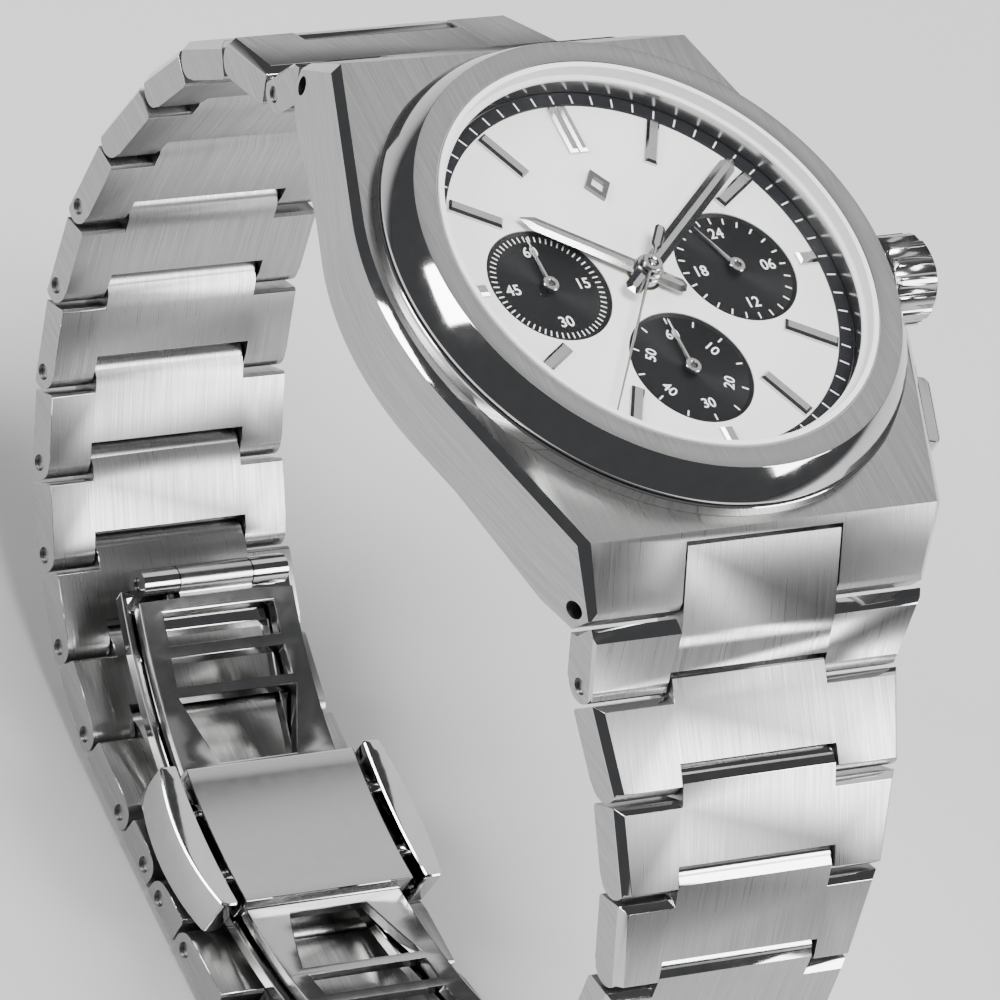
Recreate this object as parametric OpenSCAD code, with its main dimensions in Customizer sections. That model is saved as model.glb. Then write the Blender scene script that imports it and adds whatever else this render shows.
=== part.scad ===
// Chronograph wristwatch with an integrated link bracelet and a two-armed folding clasp.
// The case back's flat face is at z = 0, +Z leaves the crystal, +Y is 12 o'clock, +X is the crown.

/* [Case] */
// Width of the case across its middle, mm
case_width = 40; // [36:0.5:44]
// Height of the flat shoulder that the bezel stands on, mm
case_top = 7.6; // [7:0.1:8.5]
// Radius of the rounded middle part of each flank, mm
flank_radius = 22.6; // [21:0.1:26]
// Angle that the straight ends of the flanks close in at, degrees
flank_angle = 19.35; // [14:0.05:24]

/* [Dial] */
// Height of the dial's face, mm
dial_z = 8.3; // [8:0.1:8.8]
// Distance of the side subdials from the middle, mm
subdial_offset = 7.5; // [6.5:0.1:8.5]
// Radius of each subdial, mm
subdial_r = 4.45; // [3.5:0.05:5]
// Time shown: hours past 12, with the fraction
shown_hour = 10.15; // [0:0.05:12]

/* [Bracelet] */
// Distance between the pins of a full link, mm
link_pitch = 6.45; // [5.5:0.05:7.5]
// Thickness of the links, mm
link_thick = 2.6; // [2.2:0.1:3.2]
// Half width of the bracelet at the case, mm
strap_half = 13.4; // [11:0.05:15]
// Half width lost by every link that tapers, mm
strap_taper = 0.92; // [0:0.02:1.2]
// Number of links that taper, counted from the case
taper_links = 4; // [1:1:8]
// Radius of the link pins, mm
pin_r = 0.55; // [0.4:0.05:0.7]

/* [View] */
// Name of the piece to draw, or all

/* [Hidden] */
$fn = 96;

// Case outline
arc_x = case_width / 2 - flank_radius;
tangent_x = arc_x + flank_radius * cos(flank_angle);
tangent_y = flank_radius * sin(flank_angle);
case_end = 22.65;
top_end = 19.55;
end_drop = [22.5, 3.95];
bore_r = 15.35;
neck_r = 18.2;
back_r = 17;
case_bottom = 2.35;
flank_mid_z = 4.75;

// Spring bars at the two ends of the case
lug = [21.43, 3.03];
slot_half = 6.3;
tongue_half = 6.15;

// Bracelet: angle of every link below the horizontal, from the case to the clasp
upper_angle = [58, 31, 52, 69, 83, 96, 109, 120, 130, 140, 151, 164, 177, 179];
lower_angle = [58, 33, 47, 62, 76, 89, 101, 114, 126, 139, 152, 164, 177, 180];
links = 14;
first_pitch = 5.4;
last_pitch = 4.35;
half_thick = link_thick / 2;
wall_round = 1.2;
tongue_round = 1.05;
tongue_bore = pin_r + 0.05;
wall_bore = pin_r + 0.03;

// Where a link's far pin lies, counted from the case, as [distance from the middle, height]
function pitch(i) = i == 0 ? first_pitch : i == links - 1 ? last_pitch : link_pitch;
function pin_at(angles, n) = n == 0 ? lug
    : pin_at(angles, n - 1) + pitch(n - 1) * [cos(angles[n - 1]), -sin(angles[n - 1])];
function half_width(n) = strap_half - strap_taper * min(n, taper_links);
function side_slope(i) = (half_width(i) - half_width(i + 1)) / pitch(i);

// Clasp: its own frame has the origin midway between the last two pins
upper_end = pin_at(upper_angle, links);
lower_end = pin_at(lower_angle, links);
clasp_y = (upper_end[0] - lower_end[0]) / 2;
clasp_z = (upper_end[1] + lower_end[1]) / 2;
clasp_span = norm([upper_end[0] + lower_end[0], upper_end[1] - lower_end[1]]);
clasp_tilt = atan2(upper_end[1] - lower_end[1], upper_end[0] + lower_end[0]);
clasp_r = 42;
clasp_rise = 3.2;
clasp_centre = clasp_rise + clasp_r;
clasp_hinge_y = 19;
clasp_hinge_z = clasp_centre - sqrt(clasp_r * clasp_r - clasp_hinge_y * clasp_hinge_y);

// ---- helpers ----

// A flat outline given as [along Y, along Z], made solid across X
module across(half) {
    rotate([90, 0, 90])
        linear_extrude(2 * half, center = true)
            children();
}

// A rod along X, centred on the middle
module cross_rod(r, half) {
    rotate([0, 90, 0])
        cylinder(r = r, h = 2 * half, center = true);
}

module ring(r_out, r_in, z0, z1) {
    difference() {
        translate([0, 0, z0])
            cylinder(r = r_out, h = z1 - z0);
        translate([0, 0, z0 - 1])
            cylinder(r = r_in, h = z1 - z0 + 2);
    }
}

module both_ends() {
    children();
    rotate([0, 0, 180])
        children();
}

module four_corners() {
    both_ends()
        for (side = [0, 1])
            mirror([side, 0, 0])
                children();
}

// ---- case ----

module case_outline() {
    straight_end = tangent_x - (case_end - tangent_y) * tan(flank_angle);
    linear_extrude(9)
        polygon([
            [tangent_x, tangent_y],
            [straight_end, case_end],
            [-straight_end, case_end],
            [-tangent_x, tangent_y],
            [-tangent_x, -tangent_y],
            [-straight_end, -case_end],
            [straight_end, -case_end],
            [tangent_x, -tangent_y],
        ]);
    both_ends()
        intersection() {
            translate([arc_x, 0, 0])
                cylinder(r = flank_radius, h = 9, $fn = 180);
            translate([10, -tangent_y, -1])
                cube([20, 2 * tangent_y, 11]);
        }
}

module case_profile() {
    half = [
        [top_end, case_top],
        end_drop,
        [case_end, 3.36],
        [22, 1.75],
        [19.3, 1.45],
        [11, case_bottom],
    ];
    across(30)
        polygon(concat(half, [for (i = [len(half) - 1:-1:0]) [-half[i][0], half[i][1]]]));
}

// Polished strip along the top edge of the flanks
module flank_bevel() {
    wide = 0.55;
    high = 0.5;
    slope = high / wide;
    out = 0.1;
    strip = [
        [-wide - out, slope * out],
        [out, -high - slope * out],
        [2, -high - slope * out],
        [2, slope * out],
    ];
    four_corners()
        translate([tangent_x, tangent_y, case_top])
            rotate([0, 0, flank_angle])
                rotate([90, 0, 0])
                    translate([0, 0, -25])
                        linear_extrude(25)
                            polygon(strip);
    both_ends()
        intersection() {
            translate([arc_x, 0, case_top])
                rotate_extrude($fn = 180)
                    translate([flank_radius, 0])
                        polygon(strip);
            translate([10, -tangent_y, 0])
                cube([20, 2 * tangent_y, 12]);
        }
}

// Polished facet that takes off each of the four upper corners
module corner_facet() {
    normal = [0.596, 0.689, 0.411];
    depth = 24.89;
    four_corners()
        rotate([0, acos(normal[2] / norm(normal)), atan2(normal[1], normal[0])])
            translate([-20, -20, depth / norm(normal)])
                cube([40, 40, 10]);
}

// Open slot for the tongue of an end link
module lug_slot() {
    back = 17.8;
    ceiling = [19.96, 7.095];
    lean = [0.7777, 0.6286];
    reach = (ceiling[0] - back) / lean[0];
    across(slot_half)
        polygon([
            [back, -1],
            [back, ceiling[1] - reach * lean[1]],
            ceiling + 3 * lean,
            [27, 9],
            [27, -1],
        ]);
}

module spring_bar() {
    body_half = 5.9;
    tip_half = 9;
    cross_rod(pin_r, body_half);
    cross_rod(pin_r - 0.12, tip_half);
}

// Puts a piece on a straight flank: X outwards, Y along the flank, Z up
module on_flank(lower) {
    along = 11;
    mirror([0, lower, 0])
        translate([tangent_x - (along - tangent_y) * tan(flank_angle), along, flank_mid_z])
            rotate([0, 0, flank_angle])
                children();
}

module pusher_collar() {
    long = 6.8;
    high = 3.3;
    stand = 0.5;
    translate([-1, -long / 2, -high / 2])
        cube([1 + stand, long, high]);
}

module pusher_pocket() {
    long = 5.7;
    high = 2.8;
    floor_x = -1.3;
    translate([floor_x, -long / 2, -high / 2])
        cube([4, long, high]);
    translate([-3.5, 0, 0])
        rotate([0, 90, 0])
            cylinder(r = 1.3, h = 3, $fn = 48);
    translate([-8, 0, 0])
        rotate([0, 90, 0])
            cylinder(r = 0.85, h = 8, $fn = 48);
}

module crown_tube() {
    translate([16, 0, flank_mid_z])
        rotate([0, 90, 0])
            cylinder(r = 1.9, h = 5.2);
}

module case_middle() {
    color("silver")
        difference() {
            union() {
                difference() {
                    union() {
                        difference() {
                            intersection() {
                                case_outline();
                                case_profile();
                            }
                            flank_bevel();
                            corner_facet();
                        }
                        translate([0, 0, case_top - 1])
                            cylinder(r = neck_r, h = dial_z - case_top + 1);
                    }
                    both_ends()
                        lug_slot();
                    both_ends()
                        translate([0, lug[0], lug[1]])
                            cross_rod(0.625, 20);
                }
                for (lower = [0, 1])
                    on_flank(lower)
                        pusher_collar();
                crown_tube();
            }
            translate([0, 0, -1])
                cylinder(r = bore_r, h = 12);
            translate([0, 0, -1])
                cylinder(r = back_r + 0.1, h = 3.4);
            ring(16.35, 15.55, 2, 2.62);
            for (lower = [0, 1])
                on_flank(lower)
                    pusher_pocket();
            translate([10, 0, flank_mid_z])
                rotate([0, 90, 0])
                    cylinder(r = 0.88, h = 14);
        }
    color("silver")
        rotate([0, 0, 180])
            translate([0, lug[0], lug[1]])
                spring_bar();
}

module bezel() {
    color("gainsboro")
        rotate_extrude($fn = 180)
            polygon([
                [15.95, dial_z + 0.03],
                [15.95, 9.85],
                [15.75, 9.85],
                [15.75, 10.8],
                [15.85, 10.85],
                [17.47, 10.85],
                [18.85, 8.8],
                [18.85, 8.66],
                [18.55, 8.66],
                [18.55, 8.45],
                [18.95, 8.45],
                [18.95, case_top],
                [neck_r + 0.03, case_top],
                [neck_r + 0.03, dial_z + 0.03],
            ]);
}

module crystal() {
    color("lightcyan", 0.4)
        rotate_extrude($fn = 180)
            polygon([
                [0, 10.05],
                [15.28, 10.05],
                [15.28, 10.93],
                [15.16, 11.05],
                [0, 11.05],
            ]);
}

module crystal_gasket() {
    color("whitesmoke") {
        rotate_extrude($fn = 180)
            polygon([
                [14.95, 9.87],
                [15.72, 9.87],
                [15.72, 10.95],
                [15.32, 10.95],
                [15.32, 10.03],
                [14.95, 10.03],
            ]);
    }
}

module rehaut() {
    color("silver")
        ring(15.9, 15.15, dial_z + 0.03, 9.8, $fn = 180);
}

// ---- dial ----

module minute_ring() {
    color("black")
        ring(15.1, 14.1, dial_z, dial_z + 0.15, $fn = 180);
}

module at_subdials() {
    for (turn = [90, 180, 270])
        rotate([0, 0, turn])
            translate([0, subdial_offset, 0])
                children();
}

module dial() {
    color("white")
        difference() {
            translate([0, 0, dial_z - 0.4])
                cylinder(r = 15.25, h = 0.4, $fn = 180);
            at_subdials()
                translate([0, 0, dial_z - 1])
                    cylinder(r = subdial_r + 0.03, h = 2);
            translate([0, 0, dial_z - 1])
                cylinder(r = 1.2, h = 2, $fn = 48);
        }
}

module subdials() {
    color("black")
        at_subdials()
            ring(subdial_r - 0.02, 0.27, dial_z - 0.44, dial_z - 0.2);
}

// A bar along the radius with sloping sides
module hour_bar(r_in, r_out, wide) {
    high = 0.4;
    slope = 0.2;
    translate([0, r_out, dial_z])
        rotate([90, 0, 0])
            linear_extrude(r_out - r_in)
                polygon([
                    [-wide / 2, 0],
                    [wide / 2, 0],
                    [wide / 2, high - slope],
                    [wide / 2 - slope, high],
                    [-wide / 2 + slope, high],
                    [-wide / 2, high - slope],
                ]);
}

module emblem() {
    half_wide = 1;
    half_high = 1.25;
    translate([0, 7.4, dial_z])
        difference() {
            linear_extrude(0.3)
                polygon([[half_wide, 0], [0, half_high], [-half_wide, 0], [0, -half_high]]);
            translate([0, 0, 0.15])
                linear_extrude(1)
                    polygon([[0.5, 0], [0, 0.65], [-0.5, 0], [0, -0.65]]);
        }
}

module hour_markers() {
    long_in = 10.1;
    short_in = 12.5;
    r_out = 13.95;
    wide = 0.95;
    twin_gap = 0.16;
    twin_wide = 0.62;
    color("silver") {
        for (hour = [1:11])
            rotate([0, 0, -30 * hour])
                hour_bar(hour % 3 == 0 ? short_in : long_in, r_out, wide);
        for (side = [-1, 1])
            translate([side * (twin_gap + twin_wide) / 2, 0, 0])
                hour_bar(long_in, r_out, twin_wide);
        emblem();
    }
}

// A baton hand that points to 12, with a tail and a hub that turns on a post
module baton_hand(tip, shoulder, tail, wide, z0, thick, hub_r, hub_z0, post_r) {
    narrow = 0.5;
    point = 0.16;
    difference() {
        union() {
            translate([0, 0, z0])
                linear_extrude(thick)
                    polygon([
                        [-point / 2, tip],
                        [-wide / 2, shoulder],
                        [-narrow * wide, 0],
                        [-narrow * wide, -tail + 0.3],
                        [-narrow * wide + 0.25, -tail],
                        [narrow * wide - 0.25, -tail],
                        [narrow * wide, -tail + 0.3],
                        [narrow * wide, 0],
                        [wide / 2, shoulder],
                        [point / 2, tip],
                    ]);
            translate([0, 0, hub_z0])
                cylinder(r = hub_r, h = z0 + thick - hub_z0, $fn = 48);
        }
        translate([0, 0, hub_z0 - 1])
            cylinder(r = post_r + 0.04, h = z0 + thick - hub_z0 + 2, $fn = 48);
    }
}

centre_post = 0.3;
counter_post = 0.2;

module hour_hand() {
    color("silver")
        rotate([0, 0, -30 * shown_hour])
            baton_hand(9.15, 8.1, 2.9, 1.2, 8.78, 0.2, 1.05, 8.2, centre_post);
}

module minute_hand() {
    minute = (shown_hour - floor(shown_hour)) * 60;
    color("silver")
        rotate([0, 0, -6 * minute])
            baton_hand(13.6, 12.6, 2.9, 1.2, 9.2, 0.2, 0.95, 9.05, centre_post);
}

module chrono_seconds_hand() {
    second = 36.25;
    color("silver")
        rotate([0, 0, -6 * second])
            difference() {
                union() {
                    translate([0, 0, 9.55])
                        linear_extrude(0.14)
                            polygon([
                                [-0.06, 14.2],
                                [-0.13, 0],
                                [-0.13, -1.6],
                                [-0.42, -2],
                                [-0.42, -3.5],
                                [-0.2, -3.7],
                                [0.2, -3.7],
                                [0.42, -3.5],
                                [0.42, -2],
                                [0.13, -1.6],
                                [0.13, 0],
                                [0.06, 14.2],
                            ]);
                    translate([0, 0, 9.48])
                        cylinder(r = 0.72, h = 0.37, $fn = 48);
                }
                translate([0, 0, 9])
                    cylinder(r = centre_post + 0.04, h = 0.72, $fn = 48);
            }
}

// A small hand that turns on a counter's post
module counter_hand() {
    difference() {
        union() {
            translate([0, 0, 8.36])
                linear_extrude(0.12)
                    polygon([
                        [-0.05, 3.85],
                        [-0.2, 0.9],
                        [-0.2, 0],
                        [0.2, 0],
                        [0.2, 0.9],
                        [0.05, 3.85],
                    ]);
            translate([0, 0, 8.3])
                cylinder(r = 0.58, h = 0.3, $fn = 48);
        }
        translate([0, 0, 8])
            cylinder(r = counter_post + 0.04, h = 0.52, $fn = 48);
    }
}

module small_seconds_hand() {
    color("silver")
        translate([0, -subdial_offset, 0])
            counter_hand();
}

module minute_counter_hand() {
    color("silver")
        translate([-subdial_offset, 0, 0])
            counter_hand();
}

module hour24_hand() {
    turn = -15 * (shown_hour + 12);
    color("silver")
        translate([subdial_offset, 0, 0])
            rotate([0, 0, turn])
                counter_hand();
}

// ---- movement ----

module movement_plate() {
    color("goldenrod") {
        difference() {
            translate([0, 0, 5.6])
                cylinder(r = 13.8, h = 2);
            for (turn = [60, 180, 300])
                rotate([0, 0, turn])
                    translate([12.6, 0, 5])
                        cylinder(r = 0.5, h = 4, $fn = 32);
        }
        translate([0, 0, 7.5])
            cylinder(r = centre_post, h = 2.15, $fn = 48);
        at_subdials()
            translate([0, 0, 7.5])
                cylinder(r = counter_post, h = 0.98, $fn = 48);
    }
}

module train_bridge() {
    color("silver")
        difference() {
            translate([0, 0, 4.2])
                cylinder(r = 11.8, h = 1.35);
            translate([-5, -5, 3])
                cylinder(r = 4.85, h = 4);
            for (turn = [20, 80, 140, 320])
                rotate([0, 0, turn])
                    translate([9.8, 0, 3])
                        cylinder(r = 0.6, h = 4, $fn = 32);
        }
}

module battery() {
    color("gray")
        translate([-5, -5, 3.3])
            rotate_extrude()
                polygon([
                    [0, 0],
                    [3.9, 0],
                    [3.9, 0.25],
                    [4.75, 0.45],
                    [4.75, 2.1],
                    [0, 2.1],
                ]);
}

module movement_ring() {
    color("dimgray")
        difference() {
            ring(15.25, 13.9, 3.3, 7.84);
            translate([12, -1.6, 3])
                cube([6, 3.2, 3]);
            for (lower = [0, 1])
                on_flank(lower)
                    translate([-9, -1.6, -2])
                        cube([6, 3.2, 3.6]);
        }
}

module case_back() {
    color("silver")
        difference() {
            rotate_extrude($fn = 180)
                polygon([
                    [0, 0],
                    [14.8, 0],
                    [back_r, 1.35],
                    [back_r, case_bottom],
                    [15.25, case_bottom],
                    [15.25, 3.2],
                    [14.3, 3.2],
                    [14.3, 1.2],
                    [0, 1.2],
                ]);
            ring(16.35, 15.55, 2.15, 3);
            for (turn = [0:60:300])
                rotate([0, 0, turn])
                    translate([15.4, -1.25, -1])
                        cube([4, 2.5, 1.7]);
        }
}

module case_back_gasket() {
    color("black")
        ring(16.3, 15.6, 2.2, 2.57);
}

// ---- crown and pushers ----

module crown_stem() {
    color("silver")
        translate([12.2, 0, flank_mid_z])
            rotate([0, 90, 0])
                cylinder(r = 0.8, h = 10.8, $fn = 48);
}

module crown() {
    flutes = 14;
    crown_r = 3.1;
    base = 20.6;
    long = 3.8;
    color("gainsboro")
        translate([base, 0, flank_mid_z])
            rotate([0, 90, 0])
                difference() {
                    rotate_extrude()
                        polygon([
                            [2.1, 0],
                            [crown_r - 0.3, 0],
                            [crown_r, 0.3],
                            [crown_r, long - 0.6],
                            [crown_r - 0.7, long],
                            [0, long],
                            [0, long - 1.2],
                            [0.83, long - 1.2],
                            [0.83, long - 1.9],
                            [2.1, long - 1.9],
                        ]);
                    for (i = [0:flutes - 1])
                        rotate([0, 0, i * 360 / flutes])
                            translate([crown_r + 0.22, 0, -1])
                                cylinder(r = 0.48, h = long + 2, $fn = 32);
                }
}

// The cap, its stem and the clip that holds it in; X points out of the case
module pusher() {
    long = 5.5;
    high = 2.6;
    top = 1.75;
    low = -0.35;
    cut = 0.5;
    intersection() {
        translate([0, 0, -high / 2])
            linear_extrude(high)
                polygon([
                    [low, -long / 2],
                    [top - cut, -long / 2],
                    [top, -long / 2 + cut],
                    [top, long / 2 - cut],
                    [top - cut, long / 2],
                    [low, long / 2],
                ]);
        rotate([90, 0, 0])
            linear_extrude(long + 1, center = true)
                polygon([
                    [low, -high / 2],
                    [top - cut / 2, -high / 2],
                    [top, -high / 2 + cut / 2],
                    [top, high / 2 - cut / 2],
                    [top - cut / 2, high / 2],
                    [low, high / 2],
                ]);
    }
    translate([-6.5, 0, 0])
        rotate([0, 90, 0])
            cylinder(r = 0.8, h = 6.5 + low + 0.2, $fn = 48);
    translate([-6.3, 0, 0])
        rotate([0, 90, 0])
            cylinder(r = 1.15, h = 0.2, $fn = 48);
}

module pusher_upper() {
    color("gainsboro")
        on_flank(0)
            pusher();
}

module pusher_lower() {
    color("gainsboro")
        on_flank(1)
            pusher();
}

// Coil spring round a pusher's stem
module return_spring() {
    turns = 5;
    wire = 0.28;
    r_in = 0.9;
    long = 2.9;
    rise = long / turns;
    arc = 360 * wire / rise;
    steps = 4;
    translate([-3.42, 0, 0])
        rotate([0, 90, 0])
            linear_extrude(long, twist = -360 * turns, slices = 60, $fn = 12)
                polygon(concat(
                    [for (i = [0:steps]) r_in * [cos(arc * i / steps), sin(arc * i / steps)]],
                    [for (i = [steps:-1:0]) (r_in + wire) * [cos(arc * i / steps), sin(arc * i / steps)]]
                ));
}

module pusher_spring_upper() {
    color("slategray")
        on_flank(0)
            return_spring();
}

module pusher_spring_lower() {
    color("slategray")
        on_flank(1)
            return_spring();
}

// ---- bracelet ----

// Puts a link in place: Y runs from its near pin to its far pin, Z is its outer side
module link_place(upper, i) {
    angles = upper ? upper_angle : lower_angle;
    at = pin_at(angles, i);
    rotate([0, 0, upper ? 0 : 180])
        translate([0, at[0], at[1]])
            rotate([-angles[i], 0, 0])
                children();
}

// Plan shape of a link, which narrows towards the clasp
module link_plan(i) {
    over = 5;
    slope = side_slope(i);
    near = half_width(i) + slope * over;
    far = half_width(i + 1) - slope * over;
    translate([0, 0, -4])
        linear_extrude(8)
            polygon([
                [near, -over],
                [far, pitch(i) + over],
                [-far, pitch(i) + over],
                [-near, -over],
            ]);
}

// Polished edges along both sides of the outer face
module side_bevels(i, z, lean) {
    leg = 0.5;
    for (side = [-1, 1])
        translate([side * half_width(i), 0, z])
            rotate([lean, 0, 0])
                rotate([0, 45, side * atan(side_slope(i))])
                    cube([leg * sqrt(2), 30, leg * sqrt(2)], center = true);
}

module far_notch(long, outer_gap, inner_gap) {
    rise = (inner_gap - outer_gap) / half_thick;
    across(slot_half)
        polygon([
            [long - outer_gap + rise * 2, half_thick + 2],
            [long - inner_gap, 0],
            [long - inner_gap, -4],
            [long + 5, -4],
            [long + 5, half_thick + 2],
        ]);
}

// The pins of the tapering links are closed in, those of the other links can be pushed out
function closed_pin(i) = i > 0 && i <= taper_links;
function pin_half(i) = closed_pin(i) ? slot_half + 1.5 : half_width(i + 1) - 0.3;

module far_pin(i) {
    translate([0, pitch(i), 0])
        cross_rod(pin_r, pin_half(i));
}

module far_bore(i) {
    play = 0.1;
    translate([0, pitch(i), 0])
        cross_rod(wall_bore, closed_pin(i) ? pin_half(i) + play : 20);
}

module link(i) {
    long = pitch(i);
    last = i == links - 1;
    front = 1.4;
    bevel = 0.45;
    lip = last ? wall_round : 0.75;
    lip_low = sqrt(wall_round * wall_round - lip * lip);
    difference() {
        union() {
            intersection() {
                link_plan(i);
                union() {
                    across(20)
                        polygon([
                            [front, -half_thick + 0.2],
                            [front + 0.2, -half_thick],
                            [long - 0.35, -half_thick],
                            [long, -wall_round],
                            [long, 0],
                            [long + lip, lip_low],
                            [long + lip, half_thick],
                            [front + bevel, half_thick],
                            [front, half_thick - bevel],
                        ]);
                    translate([0, long, 0])
                        cross_rod(wall_round, 20);
                }
            }
            across(tongue_half)
                polygon([
                    [0, -tongue_round],
                    [0.5, -half_thick],
                    [2.4, -half_thick],
                    [2.4, half_thick],
                    [0.26, half_thick],
                    [-0.72, 0.76],
                    [0, 0],
                ]);
            cross_rod(tongue_round, tongue_half);
        }
        far_notch(long, 0.71, 1.35);
        side_bevels(i, half_thick, 0);
        cross_rod(tongue_bore, slot_half);
        far_bore(i);
    }
    far_pin(i);
}

// First link, with the tall tongue that fills the slot in the case
module end_link() {
    long = pitch(0);
    shoulder = [1.85, 1.64];
    lip = [6.09, 1.11];
    lean = atan2(lip[1] - shoulder[1], lip[0] - shoulder[0]);
    difference() {
        union() {
            intersection() {
                link_plan(0);
                union() {
                    across(20)
                        polygon([
                            shoulder,
                            lip,
                            [6.09, 0.98],
                            [long, 0],
                            [long, -wall_round],
                            [5.05, -1.36],
                            [2, -0.98],
                            [2, -0.3],
                            [0.9, 1.29],
                        ]);
                    translate([0, long, 0])
                        cross_rod(wall_round, 20);
                }
            }
            across(tongue_half)
                polygon([
                    [-3.93, 0.94],
                    shoulder,
                    [3, 1.5],
                    [3, -1.1],
                    [2, -1.05],
                    [-0.3, -1.3],
                    [-3.72, -0.75],
                ]);
        }
        far_notch(long, 0.75, 1.4);
        translate([0, shoulder[0], 0])
            side_bevels(0, shoulder[1], lean);
        cross_rod(tongue_bore, slot_half);
        far_bore(0);
    }
    far_pin(0);
}

module bracelet_link(upper, n) {
    shade = n % 2 == 0 ? "silver" : "lightgray";
    color(shade)
        link_place(upper, n - 1)
            if (n == 1) {
                end_link();
                if (upper)
                    cross_rod(pin_r - 0.05, 5.8);
            } else {
                link(n - 1);
            }
}

// ---- clasp ----

module clasp_place() {
    translate([0, clasp_y, clasp_z])
        rotate([clasp_tilt, 0, 0])
            children();
}

// Curved strip across the clasp between two positions along it
module arc_band(r_in, r_out, half, y0, y1) {
    intersection() {
        translate([0, 0, clasp_centre])
            difference() {
                cross_rod(r_out, half, $fn = 180);
                cross_rod(r_in, half + 1, $fn = 180);
            }
        translate([-half - 1, y0, -5])
            cube([2 * half + 2, y1 - y0, 20]);
    }
}

module window(y0, y1, half0, half1) {
    linear_extrude(20)
        polygon([[half0, y0], [half1, y1], [-half1, y1], [-half0, y0]]);
}

knuckle_half = 3;
knuckle_r = 1;
arm_in = clasp_r + 0.65;
arm_out = clasp_r + 1.5;
bar_in = clasp_r - 0.5;
bar_out = clasp_r + 0.4;
bar_half = 6.4;
arm_half = 7;

module clasp_bar() {
    block_half = 7;
    block_y = 5.4;
    block_in = clasp_r - 1.7;
    color("gainsboro")
        clasp_place() {
            difference() {
                union() {
                    arc_band(bar_in, bar_out, bar_half, -17.6, 17.6);
                    arc_band(bar_in, bar_out, knuckle_half, -19, 19);
                    arc_band(block_in, bar_out, block_half, -block_y, block_y);
                    for (end = [-1, 1])
                        translate([0, end * clasp_hinge_y, clasp_hinge_z])
                            cross_rod(knuckle_r, knuckle_half);
                }
                for (end = [0, 1])
                    mirror([0, end, 0]) {
                        window(14.6, 16.8, 4.6, 4.6);
                        window(11.8, 13.8, 4.8, 4.7);
                        window(6.2, 11.1, 3.2, 4.9);
                        translate([0, clasp_hinge_y, clasp_hinge_z])
                            cross_rod(0.43, 10);
                    }
                for (side = [-1, 1])
                    for (peg = [-2.6, 2.6])
                        translate([side * 5.8, peg, 4])
                            cross_rod(0.6, 2);
            }
            for (end = [-1, 1])
                translate([0, end * clasp_hinge_y, clasp_hinge_z])
                    cross_rod(0.4, 5.8);
        }
}

// One folding arm, drawn for the 12 o'clock side
module clasp_arm() {
    inner_y = 0.35;
    lug_half = 0.9;
    outer_half = 6;
    pin_y = clasp_span / 2;
    difference() {
        union() {
            arc_band(arm_in, arm_out, arm_half, inner_y, clasp_hinge_y);
            translate([0, clasp_hinge_y, clasp_hinge_z])
                cross_rod(knuckle_r, outer_half);
            translate([0, pin_y, 0])
                cross_rod(tongue_round, tongue_half);
            across(tongue_half)
                polygon([
                    [pin_y - lug_half, 0],
                    [pin_y + lug_half, 0],
                    [pin_y + lug_half, 2.1],
                    [pin_y - lug_half, 2.1],
                ]);
        }
        translate([0, pin_y, 0])
            cross_rod(tongue_bore, 20);
        translate([0, clasp_hinge_y, clasp_hinge_z])
            cross_rod(0.45, 20);
        translate([-knuckle_half - 0.1, 17.7, 0])
            cube([2 * knuckle_half + 0.2, 5, 15]);
        window(5.4, 16.2, 3.6, 4.6);
    }
}

module clasp_arm_upper() {
    color("lightgray")
        clasp_place()
            clasp_arm();
}

module clasp_arm_lower() {
    color("lightgray")
        clasp_place()
            mirror([0, 1, 0])
                clasp_arm();
}

// Push cheek on one side of the clasp, drawn for +X
module clasp_button() {
    inner_x = 7.8;
    outer_x = 9.9;
    long = 11.4;
    bulge_r = 22;
    intersection() {
        difference() {
            arc_band(clasp_r - 2, clasp_r + 1.4, outer_x, -long / 2, long / 2);
            translate([-20, -20, -5])
                cube([20 + inner_x, 40, 25]);
        }
        translate([outer_x - bulge_r, 0, -5])
            cylinder(r = bulge_r, h = 25, $fn = 180);
    }
    for (peg = [-2.6, 2.6])
        translate([5.4, peg, 4])
            rotate([0, 90, 0])
                cylinder(r = 0.55, h = inner_x - 5.4 + 0.3, $fn = 48);
}

module clasp_button_right() {
    color("gainsboro")
        clasp_place()
            clasp_button();
}

module clasp_button_left() {
    color("gainsboro")
        clasp_place()
            mirror([1, 0, 0])
                clasp_button();
}

// ---- assembly ----

case_middle();
bezel();
crystal();
crystal_gasket();
rehaut();
minute_ring();
dial();
hour_markers();
subdials();
minute_hand();
hour_hand();
chrono_seconds_hand();
minute_counter_hand();
small_seconds_hand();
hour24_hand();
movement_plate();
train_bridge();
battery();
movement_ring();
case_back();
case_back_gasket();
crown_stem();
crown();
pusher_upper();
pusher_lower();
pusher_spring_upper();
pusher_spring_lower();
clasp_bar();
clasp_arm_upper();
clasp_arm_lower();
clasp_button_left();
clasp_button_right();
for (n = [1:links]) {
    label = str(n < 10 ? "0" : "", n);
    bracelet_link(true, n);
    bracelet_link(false, n);
}
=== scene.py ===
import math
import bmesh
import bpy
from mathutils import Matrix, Vector


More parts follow.
